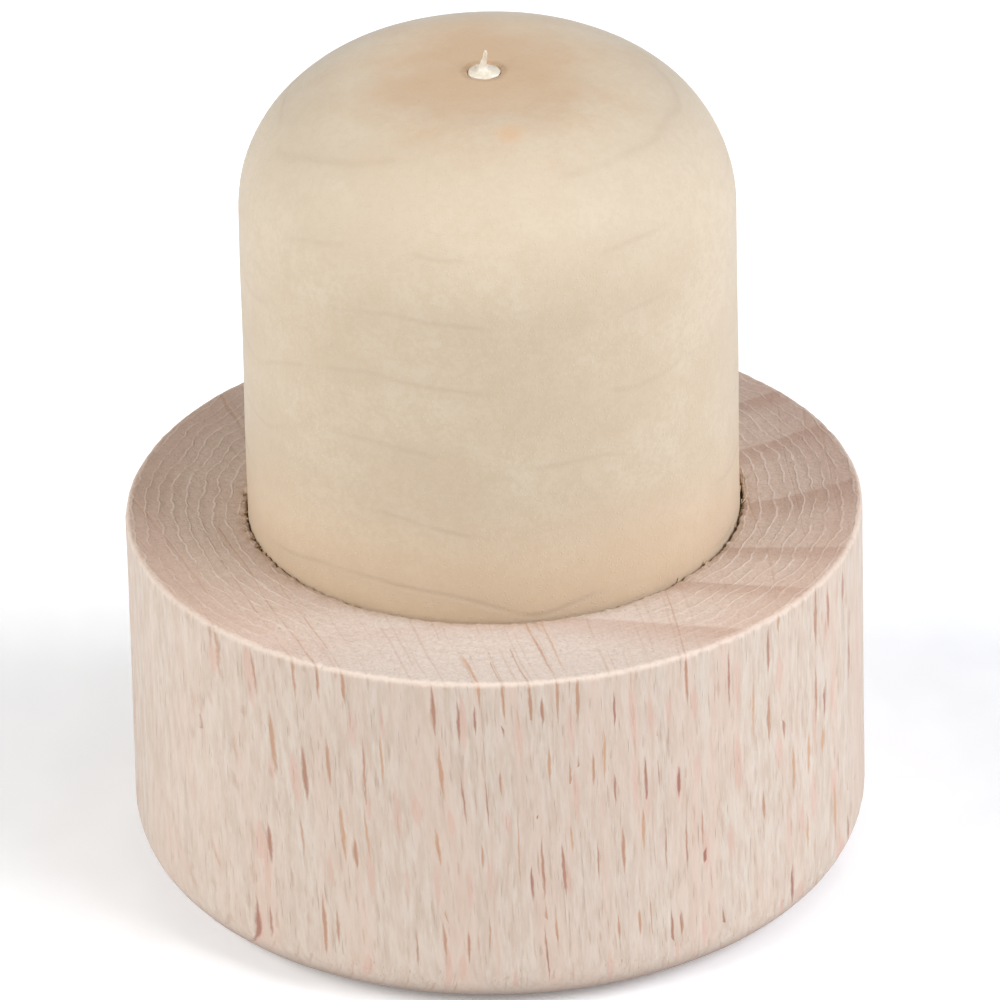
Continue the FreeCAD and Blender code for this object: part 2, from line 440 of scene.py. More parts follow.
# %% Speckle: the fine mottle of foam, torn plastic and glue
def build_speckle():
    """A fine uneven mottle about 0.5, made of cells and a finer dust."""
    tree, given, result = new_group(
        "speckle",
        [("Place", "NodeSocketVector", None), ("Size", "NodeSocketFloat", 0.2)],
        [("Mottle", "NodeSocketFloat"), ("Pits", "NodeSocketFloat")],
    )
    scale = maths(tree, "DIVIDE", 1.0, given["Size"])
    broad = noise(tree, given["Place"], maths(tree, "MULTIPLY", scale, 0.35), 3.0, 0.6)
    fine = noise(tree, given["Place"], scale, 2.0, 0.6)
    cells = add_node(tree, "ShaderNodeTexVoronoi")
    fill(tree, cells.inputs["Vector"], given["Place"])
    fill(tree, cells.inputs["Scale"], maths(tree, "MULTIPLY", scale, 1.3))
    fill(tree, result["Mottle"], maths(tree, "MULTIPLY_ADD", broad, 0.5, maths(tree, "MULTIPLY", fine, 0.5)))
    fill(tree, result["Pits"], ease(tree, cells.outputs["Distance"], 0.32, 0.08))
    return tree


speckle_group = build_speckle()
print("speckle built")

# %% [markdown]
# ## Beech finish
# Steamed beech is a pale pinkish brown. Its side shows three things: reddish flecks where the rays
# come out, fine streaks of fibres and vessels, and very faint bands of growth. Its end grain is
# darker, with the rays as thin lines and the vessels as dots, and is painted warmer and pinker
# at its two sides, as painted shade with warm light bounced off the stem. The turning tool leaves
# rings of crushed, paler fibre on the shoulder, and a cream, slightly ragged edge round it, both
# with a painted highlight. The colour is built up in layers, one to a cell: plain wood, its
# years, its rays, the tool's rings, and wear with painted light and shade.


# %% Beech: the plain wood
def plain_wood(tree, grain, end_grain, sides):
    """Wood with no rays in it. Gives its colour, and the streaks, hairs and vessels in its surface."""
    # Fibres and vessels: long streaks up the grain, dots on the end of it.
    streaks = stretched(tree, grain, (3.6, 3.0, 0.6), 4.0, 0.6)
    hairs = stretched(tree, grain, (8.0, 8.0, 1.3), 3.0, 0.6)
    bands = stretched(tree, grain, (0.7, 0.3, 0.06))
    stripes = stretched(tree, grain, (2.2, 0.6, 0.07))
    vessels = ease(tree, stretched(tree, grain, (11.0, 11.0, 0.9), 1.0), 0.64, 0.78)
    wood = blend(tree, ease(tree, streaks, 0.3, 0.7), colour(184, 166, 150), colour(197, 184, 171))
    wood = tinted(tree, wood, ease(tree, hairs, 0.48, 0.68), 0.28, colour(206, 196, 184))
    wood = tinted(tree, wood, ease(tree, bands, 0.42, 0.68), 0.45, colour(197, 174, 158))
    wood = tinted(tree, wood, ease(tree, stripes, 0.5, 0.66), 0.17, colour(200, 168, 151))
    wood = tinted(tree, wood, vessels, 0.3, colour(160, 134, 118))
    # End grain is finer. It is painted warmer to the left and right: painted warm light, bounced off
    # the stem into the shade there.
    fine = ease(tree, hairs, 0.35, 0.65)
    cool = blend(tree, fine, colour(190, 175, 164), colour(201, 188, 178))
    warm = blend(tree, fine, colour(193, 168, 151), colour(203, 182, 166))
    wood = tinted(tree, wood, end_grain, 0.85, blend(tree, sides, cool, warm))
    return wood, streaks, hairs, vessels


print("plain wood ready")

# %% Beech: the years
YEAR_WIDTH = 3.9
YEAR_SWAY = 5.0


def add_years(tree, wood, place, grain, end_grain):
    """Bands of growth, which hardly show but on the end grain, and there more to the right."""
    x = parts_of(tree, place)[0]
    years = maths(tree, "DIVIDE", parts_of(tree, grain)[1], YEAR_WIDTH)
    years = maths(tree, "MULTIPLY_ADD", noise(tree, place, 0.05, 0.5), YEAR_SWAY, years)
    # Each ring darkens slowly outwards and then stops short.
    season = maths(tree, "FRACT", years)
    late = maths(tree, "MULTIPLY", ease(tree, season, 0.5, 0.92), ease(tree, season, 1.0, 0.95))
    clear = maths(tree, "MULTIPLY_ADD", ease(tree, x, -9.0, 9.0), 0.4, 0.05)
    clear = maths(tree, "MULTIPLY_ADD", end_grain, clear, 0.03)
    return tinted(tree, wood, late, clear, colour(170, 136, 118))


print("years", YEAR_WIDTH, "mm wide")

# %% Beech: the rays
RAY_HALF_WIDTH = 0.085
CLEAR_SHIFT = (3.4, 7.0, 1.3)
SLIGHT_SHIFT = (37.3, 11.0, 5.7)
BURIED_SHIFT = (11.9, 3.0, 2.1)


def ray_flatness(tree, place, grain, normal):
    """0 where a ray comes out square to the surface, and 1 where it lies flat in it."""
    x, y, _ = parts_of(tree, place)
    first = maths(tree, "MULTIPLY", normal[0], maths(tree, "SUBTRACT", y, PITH[1]))
    second = maths(tree, "MULTIPLY", normal[1], maths(tree, "SUBTRACT", x, PITH[0]))
    flatness = maths(tree, "SUBTRACT", first, second)
    flatness = maths(tree, "DIVIDE", flatness, parts_of(tree, grain)[1])
    return maths(tree, "ABSOLUTE", flatness)


def add_rays(tree, wood, place, grain, normal, end_grain):
    """Rays in three kinds. Gives the colour, and the mask of the clear ones."""
    # Where a ray lies nearly flat in the surface it shows wide, so there the rays are thinner and fade.
    flatness = ray_flatness(tree, place, grain, normal)
    edge_on = maths(tree, "SUBTRACT", 1.0, maths(tree, "MULTIPLY", flatness, flatness))
    edge_on = maths(tree, "SQRT", maths(tree, "MAXIMUM", edge_on, 0.0))
    slim = maths(tree, "MINIMUM", maths(tree, "MULTIPLY", edge_on, 2 * RAY_HALF_WIDTH), RAY_HALF_WIDTH)
    # The clear ones, the slight ones between them, and the ones just below the surface, which shine
    # through as a faint pink.
    clear = place_group(tree, rays_group, Grain=vectors(tree, "ADD", grain, CLEAR_SHIFT),
                        Spacing=(1.05, 16.0, 3.6), Half_Height=1.35, Half_Width=slim, Share=0.75)
    slight = place_group(tree, rays_group, Grain=vectors(tree, "ADD", grain, SLIGHT_SHIFT),
                         Spacing=(0.6, 9.0, 1.7), Half_Height=0.65, Half_Width=0.06, Share=0.6)
    buried = place_group(tree, rays_group, Grain=vectors(tree, "ADD", grain, BURIED_SHIFT),
                         Spacing=(1.3, 14.0, 3.6), Half_Height=1.5,
                         Half_Width=maths(tree, "MULTIPLY", slim, 2.2), Share=0.5)
    clear_hue = blend(tree, clear["Tone"], colour(142, 92, 78), colour(184, 144, 112))
    # On the end grain they are broken lines, clearest in front and behind.
    broken = ease(tree, stretched(tree, place, (0.4, 0.4, 0.2)), 0.3, 0.5)
    off_middle = maths(tree, "ABSOLUTE", maths(tree, "ADD", parts_of(tree, place)[0], 1.0))
    lines = maths(tree, "MULTIPLY_ADD", ease(tree, off_middle, 13.0, 5.0), 0.55, 0.25)
    lines = maths(tree, "MULTIPLY", end_grain, maths(tree, "MULTIPLY", broken, lines))
    shown = maths(tree, "ADD", maths(tree, "SUBTRACT", 1.0, end_grain), lines)
    shown = maths(tree, "MULTIPLY", shown, ease(tree, flatness, 0.995, 0.955))
    for mask, strength, hue in (
        (buried["Mask"], 0.4, colour(196, 154, 138)),
        (slight["Mask"], 0.42, colour(166, 134, 112)),
        (clear["Mask"], 0.88, clear_hue),
    ):
        wood = tinted(tree, wood, mask, maths(tree, "MULTIPLY", shown, strength), hue)
    return wood, clear["Mask"]


print("rays up to", 2 * RAY_HALF_WIDTH, "mm thick")


# %% Beech: the tool's rings
def add_tool_rings(tree, wood, place, from_axis, shown):
    """The rings that the turning tool left, where they are shown. Gives the colour and their mask."""
    sway = maths(tree, "DIVIDE", from_axis, RING_PITCH / MM)
    sway = maths(tree, "MULTIPLY_ADD", noise(tree, place, 0.45, 2.0), 1.6, sway)
    sway = maths(tree, "MULTIPLY_ADD", noise(tree, place, 2.2, 2.0), 0.35, sway)
    ridge = ease(tree, maths(tree, "PINGPONG", sway, 0.5), 0.37, 0.49)
    worn = noise(tree, vectors(tree, "ADD", place, (5.0, 9.0, 0.0)), 0.8, 3.0, 0.6)
    ridge = maths(tree, "MULTIPLY", ridge, ease(tree, worn, 0.32, 0.52))
    marks = maths(tree, "MULTIPLY", ridge, shown)
    # Crushed fibre, painted paler as a highlight on the ridges.
    return tinted(tree, wood, marks, 0.42, colour(228, 214, 202)), marks


print("tool rings", round(RING_PITCH / MM, 2), "mm apart")


# %% Beech: wear and painted light
def edge_mask(tree, place, **sizes):
    """The edge_wear_and_light group, placed with its sizes in millimetres."""
    return place_group(tree, edge_group, Place=place, **sizes)["Mask"]


def add_wear_and_painted_light(tree, wood, place, end_grain, sides):
    """Marks of the cutter on the edges of the head, with painted shade and painted highlights."""
    outside, top = HEAD_RADIUS / MM, SHOULDER / MM
    # The outer part of the shoulder is painted a little pinker and darker, mostly at the two sides:
    # painted shade where the stem hides a side lamp.
    painted_side_shade = edge_mask(tree, place, Radius=outside - 0.8, Level=top, Reach=1.5, Unevenness=1.6, Grit=0.5)
    painted_side_shade = maths(tree, "MULTIPLY", painted_side_shade, maths(tree, "MULTIPLY", end_grain, 0.3))
    wood = tinted(tree, wood, painted_side_shade, sides, colour(190, 154, 138))
    # The cream edge round the shoulder: crushed fibre, with a painted highlight along it.
    rim = edge_mask(tree, place, Radius=outside - 0.06, Level=top - 0.06, Reach=0.21, Unevenness=0.34,
                    Grit=2.6)
    wood = tinted(tree, wood, rim, 0.6, colour(222, 204, 188))
    # The rounded edge of the resting face is painted darker: painted shade where it meets the floor.
    painted_foot_shade = edge_mask(tree, place, Radius=outside - 1.1, Level=0.4, Reach=1.7, Unevenness=0.4, Grit=0.6)
    wood = tinted(tree, wood, painted_foot_shade, 0.9, colour(142, 124, 112))
    # The mouth of the socket and the top of its wall, painted brown: a scorch from the cutter, with
    # painted shade of the gap below it.
    mouth = edge_mask(tree, place, Radius=SOCKET_RADIUS / MM, Level=top - 0.3, Reach=0.62,
                      Unevenness=0.5, Grit=3.0)
    return tinted(tree, wood, mouth, 0.6, colour(160, 130, 98))


print("wear ready")

# %% Beech: the whole finish
BEECH_RELIEF = 0.045 * MM


def make_beech():
    """The solid wood of the head."""
    material, tree, shader, place = new_material("beech")
    grain = place_group(tree, grain_group, Place=place)["Grain"]
    x, y, _ = parts_of(tree, place)
    normal = parts_of(tree, add_node(tree, "ShaderNodeTexCoord").outputs["Normal"])
    end_grain = ease(tree, maths(tree, "ABSOLUTE", normal[2]), 0.55, 0.85)
    from_axis = vectors(tree, "LENGTH", whole_of(tree, x, y, 0.0))
    sides = ease(tree, maths(tree, "DIVIDE", maths(tree, "ABSOLUTE", x), from_axis), 0.3, 0.85)

    wood, streaks, hairs, vessels = plain_wood(tree, grain, end_grain, sides)
    wood = add_years(tree, wood, place, grain, end_grain)
    wood, rays = add_rays(tree, wood, place, grain, normal, end_grain)
    # Rings painted pale only at the two sides, where the side lamps catch them: a painted highlight.
    shown = maths(tree, "MULTIPLY", end_grain, sides)
    wood, marks = add_tool_rings(tree, wood, place, from_axis, shown)
    wood = add_wear_and_painted_light(tree, wood, place, end_grain, sides)
    fill(tree, shader.inputs["Base Color"], wood)

    # Rays are smoother than the wood about them, and lie a hair deeper. Vessels are open pores.
    matt = maths(tree, "MULTIPLY_ADD", hairs, 0.2, 0.52)
    fill(tree, shader.inputs["Roughness"], maths(tree, "MULTIPLY_ADD", rays, -0.12, matt))
    shader.inputs["IOR"].default_value = 1.45
    shader.inputs["Specular IOR Level"].default_value = 0.35
    height = maths(tree, "MULTIPLY_ADD", streaks, 0.5, maths(tree, "MULTIPLY", hairs, 0.35))
    for mask, rise in ((vessels, -0.35), (rays, -0.2), (marks, 0.3)):
        height = maths(tree, "MULTIPLY_ADD", mask, rise, height)
    raise_surface(tree, shader, height, BEECH_RELIEF)
    return material


beech = make_beech()
print("beech uses", len(beech.node_tree.nodes), "nodes")

# %% [markdown]
# ## Synthetic cork finish
# The stem is foamed plastic with a moulded skin, tinted to pass for cork. The skin is matt and
# finely mottled. Where the melt met itself, thin wavy lines run round the stem, and round the gate,
# where the melt was hottest, it has gone brown.


# %% Synthetic cork: the skin
def moulded_skin(tree, place, speckle):
    """The plain skin, with painted light over the tip and painted warm bounce light near the wood."""
    z = parts_of(tree, place)[2]
    cloudy = stretched(tree, place, (0.2, 0.2, 0.28), 3.0)
    # tip: painted light, paler over the top of the stem where lamps above would light it.
    tip = ease(tree, z, TIP_TOP / MM - 7.0, TIP_TOP / MM - 2.0)
    # low: painted warm light bounced up from the wood, warmer close to the shoulder.
    low = ease(tree, z, SHOULDER / MM + 6.0, SHOULDER / MM)
    mottle = ease(tree, speckle["Mottle"], 0.36, 0.64)
    skin = blend(tree, mottle, colour(189, 171, 146), colour(196, 180, 157))
    for mask, strength, hue in (
        (ease(tree, cloudy, 0.4, 0.65), 0.5, colour(185, 165, 139)),
        (speckle["Pits"], 0.16, colour(214, 203, 186)),
        (tip, 0.35, colour(205, 190, 167)),
        (low, 0.6, colour(212, 184, 152)),
    ):
        skin = tinted(tree, skin, mask, strength, hue)
    return skin


print("skin ready")

# %% Synthetic cork: flow lines
FLOW_SPACING = 2.9
FLOW_WANDER = 2.2


def add_flow_lines(tree, skin, place):
    """Level rings that wander up and down, and fade in and out. Gives the colour and the lines."""
    wander = stretched(tree, place, (0.08, 0.08, 0.05), 2.5, 0.45)
    flow = maths(tree, "DIVIDE", parts_of(tree, place)[2], FLOW_SPACING)
    flow = maths(tree, "MULTIPLY_ADD", wander, FLOW_WANDER, flow)
    nearness = maths(tree, "ABSOLUTE", maths(tree, "SUBTRACT", maths(tree, "FRACT", flow), 0.5))
    patches = ease(tree, noise(tree, vectors(tree, "ADD", place, (31.0, 7.0, 3.0)), 0.2, 2.0), 0.42, 0.58)
    line = maths(tree, "MULTIPLY", ease(tree, nearness, 0.07, 0.0), patches)
    # shade is painted shade: a soft darker band along each line, as beside a shallow groove.
    shade = maths(tree, "MULTIPLY", ease(tree, nearness, 0.3, 0.0), patches)
    skin = tinted(tree, skin, shade, 0.3, colour(190, 172, 150))
    return tinted(tree, skin, line, 0.25, colour(176, 156, 130)), line


print("flow lines about", FLOW_SPACING, "mm apart")

# %% Synthetic cork: the gate
SPECK_PLACE = (0.9, -5.0, TIP_TOP / MM - 0.1)


def add_gate_marks(tree, skin, place):
    """The brown bloom and the darker ring round the gate, and one speck of tint not stirred in."""
    x, y, z = parts_of(tree, place)
    away = vectors(tree, "LENGTH", whole_of(tree, x, y, maths(tree, "SUBTRACT", z, TIP_TOP / MM)))
    smoke = maths(tree, "SUBTRACT", noise(tree, place, 0.42, 3.0, 0.6), 0.5)
    bloom = ease(tree, maths(tree, "MULTIPLY_ADD", smoke, 6.0, away), 7.5, 1.2)
    scorch = edge_mask(tree, place, Radius=GATE_RADIUS / MM + 0.1, Level=TIP_TOP / MM - 0.02, Reach=0.28,
                       Unevenness=0.3, Grit=2.0)
    speck = vectors(tree, "LENGTH", vectors(tree, "SUBTRACT", place, SPECK_PLACE))
    for mask, strength, hue in (
        (bloom, 0.72, colour(188, 153, 116)),
        (scorch, 0.5, colour(158, 124, 92)),
        (ease(tree, speck, 0.9, 0.1), 0.45, colour(204, 162, 120)),
    ):
        skin = tinted(tree, skin, mask, strength, hue)
    return skin


print("gate marks ready")

# %% Synthetic cork: the whole finish
SKIN_RELIEF = 0.025 * MM


def make_cork():
    """The moulded skin of the stem."""
    material, tree, shader, place = new_material("synthetic_cork")
    speckle = place_group(tree, speckle_group, Place=place, Size=0.22)
    skin = moulded_skin(tree, place, speckle)
    skin, line = add_flow_lines(tree, skin, place)
    fill(tree, shader.inputs["Base Color"], add_gate_marks(tree, skin, place))

    fill(tree, shader.inputs["Roughness"], maths(tree, "MULTIPLY_ADD", speckle["Mottle"], 0.25, 0.5))
    shader.inputs["Specular IOR Level"].default_value = 0.3
    shader.inputs["Sheen Weight"].default_value = 0.15
    shader.inputs["Sheen Tint"].default_value = (0.8, 0.92, 1.0, 1.0)
    shader.inputs["Sheen Roughness"].default_value = 0.5
    height = maths(tree, "MULTIPLY", speckle["Mottle"], 0.6)
    height = maths(tree, "MULTIPLY_ADD", speckle["Pits"], 0.4, height)
    height = maths(tree, "MULTIPLY_ADD", line, -0.5, height)
    raise_surface(tree, shader, height, SKIN_RELIEF)
    return material


synthetic_cork = make_cork()
print("synthetic cork uses", len(synthetic_cork.node_tree.nodes), "nodes")

# %% [markdown]
# ## Small finishes
# The whisker is the same plastic without its skin, paler and glossier where it was stretched. The
# glue is a yellowish hot melt. The torn fibres round the socket are wood, browned by the cutter.


# %% Torn plastic, glue and torn fibre
def make_plain(name, pale, deep, grit, roughness, depth):
    """A mottled finish between two colours, with pits of the deeper one."""
    material, tree, shader, place = new_material(name)
    speckle = place_group(tree, speckle_group, Place=place, Size=grit)
    base = blend(tree, ease(tree, speckle["Mottle"], 0.35, 0.65), deep, pale)
    fill(tree, shader.inputs["Base Color"], tinted(tree, base, speckle["Pits"], 0.3, deep))
    fill(tree, shader.inputs["Roughness"], maths(tree, "MULTIPLY_ADD", speckle["Mottle"], 0.2, roughness))
    raise_surface(tree, shader, speckle["Mottle"], depth)
    return material


torn_plastic = make_plain("torn_plastic", colour(228, 222, 208), colour(210, 194, 170),
                          grit=0.25, roughness=0.3, depth=0.006 * MM)
hot_melt = make_plain("hot_melt", colour(226, 208, 160), colour(206, 180, 124),
                      grit=0.4, roughness=0.2, depth=0.01 * MM)
torn_fibre = make_plain("torn_fibre", colour(204, 178, 146), colour(160, 124, 90),
                        grit=0.25, roughness=0.6, depth=0.02 * MM)
floor_acrylic = make_plain("floor_acrylic", colour(250, 250, 250), colour(246, 246, 246),
                           grit=1.5, roughness=0.7, depth=0.005 * MM)
print("small finishes ready")

# %% [markdown]
# ## Floor
# One plain pale sheet, large enough to fill the view from any side. It is white acrylic that glows a
# little, as on a light table, so that the shadows on it stay soft and pale. It lies a hair below
# the resting face, because two faces in one plane flicker.

# %% Floor
FLOOR_GAP = 0.01 * MM
FLOOR_SIZE = 6.0
FLOOR_GLOW = 0.14

bpy.ops.object.select_all(action="DESELECT")
bpy.ops.mesh.primitive_plane_add(size=FLOOR_SIZE, location=(0.0, 0.0, -FLOOR_GAP))
floor = bpy.context.object
floor.name = "floor"
floor.data.materials.append(floor_acrylic)
glow = floor_acrylic.node_tree.nodes["Principled BSDF"]
glow.inputs["Emission Color"].default_value = (1.0, 1.0, 1.0, 1.0)
glow.inputs["Emission Strength"].default_value = FLOOR_GLOW
print("floor", tuple(round(side, 1) for side in floor.dimensions))

# %% [markdown]
# ## Turning
# Both main pieces are bodies of revolution, so they are made as on a lathe: half of the section is
# drawn point by point with extrude, and spun round the Z axis. The spin leaves a double seam and
# doubled points on the axis, which are merged before the normals are turned outwards.


# %% Points of a section
def arc_points(centre, radius, first, last, count):
    """Points round part of a circle in the XZ plane, both ends included, angles in degrees."""
    angles = [math.radians(first + (last - first) * step / count) for step in range(count + 1)]
    return [(centre[0] + radius * math.cos(angle), centre[1] + radius * math.sin(angle)) for angle in angles]


def straight_points(start, end, count):
    """Points along a straight line, without its first one."""
    shares = [step / count for step in range(1, count + 1)]
    return [tuple(a + (b - a) * share for a, b in zip(start, end)) for share in shares]


print("a quarter circle in 2 steps", arc_points((0.0, 0.0), 1.0, 0, 90, 2))

# %% Turn a piece
MERGE_WITHIN = 0.002 * MM
SMOOTH_BELOW = math.radians(40)


def turn_piece(name, section, steps):
    """Draws a half section with extrude, spins it about the Z axis and closes it."""
    bpy.ops.object.select_all(action="DESELECT")
    bpy.ops.mesh.primitive_plane_add(size=MM, location=(0.0, 0.0, 0.0))
    piece = bpy.context.object
    piece.name = name
    bpy.ops.object.mode_set(mode="EDIT")
    bpy.ops.mesh.select_all(action="SELECT")
    bpy.ops.mesh.merge(type="CENTER")
    bpy.ops.transform.translate(value=(section[0][0], 0.0, section[0][1]))
    for (x, z), (next_x, next_z) in zip(section, section[1:]):
        bpy.ops.mesh.extrude_region_move(TRANSFORM_OT_translate={"value": (next_x - x, 0.0, next_z - z)})
    bpy.ops.mesh.select_all(action="SELECT")
    bpy.ops.mesh.spin(steps=steps, angle=2 * math.pi, center=(0.0, 0.0, 0.0), axis=(0.0, 0.0, 1.0))
    bpy.ops.mesh.select_all(action="SELECT")
    bpy.ops.mesh.remove_doubles(threshold=MERGE_WITHIN)
    bpy.ops.mesh.normals_make_consistent(inside=False)
    bpy.ops.object.mode_set(mode="OBJECT")
    bpy.ops.object.shade_smooth_by_angle(angle=SMOOTH_BELOW)
    print(name, "has", len(piece.data.polygons), "faces")
    return piece


print("lathe ready")


# %% Roughen part of a piece
def weigh(piece, name, weight):
    """A vertex group whose weight at each point is worked out from its radius, angle and height."""
    group = piece.vertex_groups.new(name=name)
    for vertex in piece.data.vertices:
        x, y, z = vertex.co
        share = weight(math.hypot(x, y), math.atan2(y, x), z)
        if share > 0.001:
            group.add([vertex.index], min(share, 1.0), "REPLACE")
    return group.name


def roughen(piece, group, grit, strength, depth):
    """Pushes the points of a vertex group in and out by a cloud pattern, and applies it."""
    cloud = bpy.data.textures.new(group, "CLOUDS")
    cloud.noise_scale = grit
    cloud.noise_depth = depth
    modifier = piece.modifiers.new(group, "DISPLACE")
    modifier.texture = cloud
    modifier.texture_coords = "LOCAL"
    modifier.direction = "NORMAL"
    modifier.vertex_group = group
    modifier.mid_level = 0.5
    modifier.strength = strength
    bpy.context.view_layer.objects.active = piece
    bpy.ops.object.modifier_apply(modifier=modifier.name)


def tighten(piece, group, amount):
    """Pushes the points of a vertex group out of the surface by an even amount, and applies it."""
    modifier = piece.modifiers.new(group, "DISPLACE")
    modifier.vertex_group = group
    modifier.mid_level = 0.0
    modifier.strength = amount
    bpy.context.view_layer.objects.active = piece
    bpy.ops.object.modifier_apply(modifier=modifier.name)


print("rougheners ready")

# %% [markdown]
# ## The head
# Its section goes from the middle of the resting face out, up the side, in across the shoulder and
# down the socket. The shoulder carries the fine rings that the cutter left, which are part of the
# section. Turned end grain also breaks a little, so the rim and the mouth of the socket are then
# roughened, the mouth more at its two sides, where the cutter met the rings of the wood edge on.

# %% Turn the head
RING_DEPTH = 0.018 * MM
MOUTH_BREAK = 0.06 * MM
HEAD_STEPS = 720


def shoulder_points(count):
    """The shoulder from the rim in to the socket, with one shallow groove for each turn of the tool."""
    outer, inner = HEAD_RADIUS - RIM_BREAK, SOCKET_RADIUS + MOUTH_BREAK
    points = []
    for step in range(1, count + 1):
        radius = outer + (inner - outer) * step / count
        fade = math.sin(math.pi * step / count) ** 0.5
        groove = 0.5 - 0.5 * math.cos(2 * math.pi * (outer - radius) / RING_PITCH)
        points.append((radius, SHOULDER - RING_DEPTH * groove * fade))
    return points


head_section = [(0.0, 0.0)] + straight_points((0.0, 0.0), (HEAD_RADIUS - BASE_ROUND, 0.0), 6)
head_section += arc_points((HEAD_RADIUS - BASE_ROUND, BASE_ROUND), BASE_ROUND, -90, 0, 12)[1:]
side_top = SHOULDER - RIM_BREAK
head_section += straight_points((HEAD_RADIUS, BASE_ROUND), (HEAD_RADIUS, side_top), 14)
head_section += arc_points((HEAD_RADIUS - RIM_BREAK, side_top), RIM_BREAK, 0, 90, 6)[1:]
head_section += shoulder_points(40)
mouth_centre = (SOCKET_RADIUS + MOUTH_BREAK, SHOULDER - MOUTH_BREAK)
head_section += arc_points(mouth_centre, MOUTH_BREAK, 90, 180, 3)[1:]
wall_top = (SOCKET_RADIUS, SHOULDER - MOUTH_BREAK)
wall_middle = (SOCKET_RADIUS, SHOULDER - 1.0 * MM)
head_section += straight_points(wall_top, wall_middle, 5)
head_section += straight_points(wall_middle, (SOCKET_RADIUS, SOCKET_FLOOR), 3)
head_section += straight_points((SOCKET_RADIUS, SOCKET_FLOOR), (0.0, SOCKET_FLOOR), 3)

turned_head = turn_piece("turned_head", head_section, HEAD_STEPS)

# %% Roughen the head
TIGHT_SIDE = 0.3
RIM_MIDDLE = (HEAD_RADIUS - RIM_BREAK / 2, SHOULDER - RIM_BREAK / 2)
RIM_REACH = 0.45 * MM
MOUTH_REACH = 0.4 * MM


def tight_weight(radius, angle, z):
    """The top of the socket's wall. The cutter ran out of true, so it is tight left and open right."""
    if radius >= SOCKET_RADIUS + 0.01 * MM or z <= SHOULDER - 0.5 * MM:
        return 0.0
    return 0.5 - 0.5 * math.cos(angle - TIGHT_SIDE)


def rim_weight(radius, angle, z):
    """The outer edge of the shoulder."""
    return 1 - math.dist((radius, z), RIM_MIDDLE) / RIM_REACH


def mouth_weight(radius, angle, z):
    """The edge of the socket, most at its two sides."""
    near = 1 - math.dist((radius, z), (SOCKET_RADIUS, SHOULDER)) / MOUTH_REACH
    return near * (0.35 + 0.65 * abs(math.cos(angle)) ** 3)


tighten(turned_head, weigh(turned_head, "tight", tight_weight), 0.08 * MM)
roughen(turned_head, weigh(turned_head, "rim", rim_weight), 0.55 * MM, 0.07 * MM, depth=3)
roughen(turned_head, weigh(turned_head, "mouth", mouth_weight), 0.3 * MM, 0.3 * MM, depth=2)
face = weigh(turned_head, "shoulder", lambda radius, angle, z: float(z > SHOULDER - 0.1 * MM))
roughen(turned_head, face, 0.25 * MM, 0.02 * MM, depth=2)
side = weigh(turned_head, "side", lambda radius, angle, z: float(radius > HEAD_RADIUS - BASE_ROUND))
roughen(turned_head, side, 6.0 * MM, 0.05 * MM, depth=1)

turned_head.data.materials.append(beech)
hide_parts("head")
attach(turned_head, "root")
print("head", [round(side / MM, 2) for side in turned_head.dimensions])

# %% [markdown]
# ## The stem
# Its section goes from the middle of the root up the taper and the side, round the tip and down into
# the recess of the gate. The tip's rounding and its shallow crown share a tangent, found from the
# line through their centres. A moulding shrinks unevenly as it cools, so the skin is given a very
# slight swell, and the torn lip of the recess is roughened.

# %% Mould the stem
LIP = 0.1 * MM
GATE_FOOT = GATE_RADIUS * 0.85
STEM_STEPS = 360

inset = STEM_RADIUS - TIP_ROUND
rise = math.sqrt((TIP_CROWN - TIP_ROUND) ** 2 - inset ** 2)
meeting = math.degrees(math.atan2(rise, inset))
corner_level = TIP_TOP - TIP_CROWN + rise
lip_angle = math.degrees(math.acos((GATE_RADIUS + LIP) / TIP_CROWN))

stem_section = [(0.0, STEM_ROOT)] + straight_points((0.0, STEM_ROOT), (ROOT_RADIUS, STEM_ROOT), 3)
stem_section += straight_points((ROOT_RADIUS, STEM_ROOT), (STEM_RADIUS, SHOULDER), 4)
stem_section += straight_points((STEM_RADIUS, SHOULDER), (STEM_RADIUS, corner_level), 22)
stem_section += arc_points((inset, corner_level), TIP_ROUND, 0, meeting, 28)[1:]
stem_section += arc_points((0.0, TIP_TOP - TIP_CROWN), TIP_CROWN, meeting, lip_angle, 12)[1:]
lip_level = stem_section[-1][1]
stem_section += arc_points((GATE_RADIUS + LIP, lip_level - LIP), LIP, 90, 180, 4)[1:]
stem_section += straight_points((GATE_RADIUS, lip_level - LIP), (GATE_FOOT, GATE_FLOOR), 3)
stem_section += straight_points((GATE_FOOT, GATE_FLOOR), (0.0, GATE_FLOOR), 4)

moulded_stem = turn_piece("moulded_stem", stem_section, STEM_STEPS)

# %% Roughen the stem
swell = weigh(moulded_stem, "swell", lambda radius, angle, z: float(z > SHOULDER + 0.5 * MM))
roughen(moulded_stem, swell, 5.0 * MM, 0.07 * MM, depth=1)


def lip_weight(radius, angle, z):
    """The torn edge of the gate's recess."""
    return 1 - abs(radius - GATE_RADIUS) / (0.35 * MM) if z > GATE_FLOOR - 0.1 * MM else 0.0


roughen(moulded_stem, weigh(moulded_stem, "lip", lip_weight), 0.22 * MM, 0.12 * MM, depth=2)

moulded_stem.data.materials.append(synthetic_cork)
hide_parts("stem")
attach(moulded_stem, "root")
print("stem", [round(side / MM, 2) for side in moulded_stem.dimensions])

# %% [markdown]
# ## The whisker
# When the mould opens, the plastic in the gate tears off and leaves a whisker: a low uneven mound in
# the recess, with one thin spike drawn out of it. A ring of points is extruded upwards in steps, and
# each step is made narrower and moved a little, so that the spike leans and kinks as it was pulled.

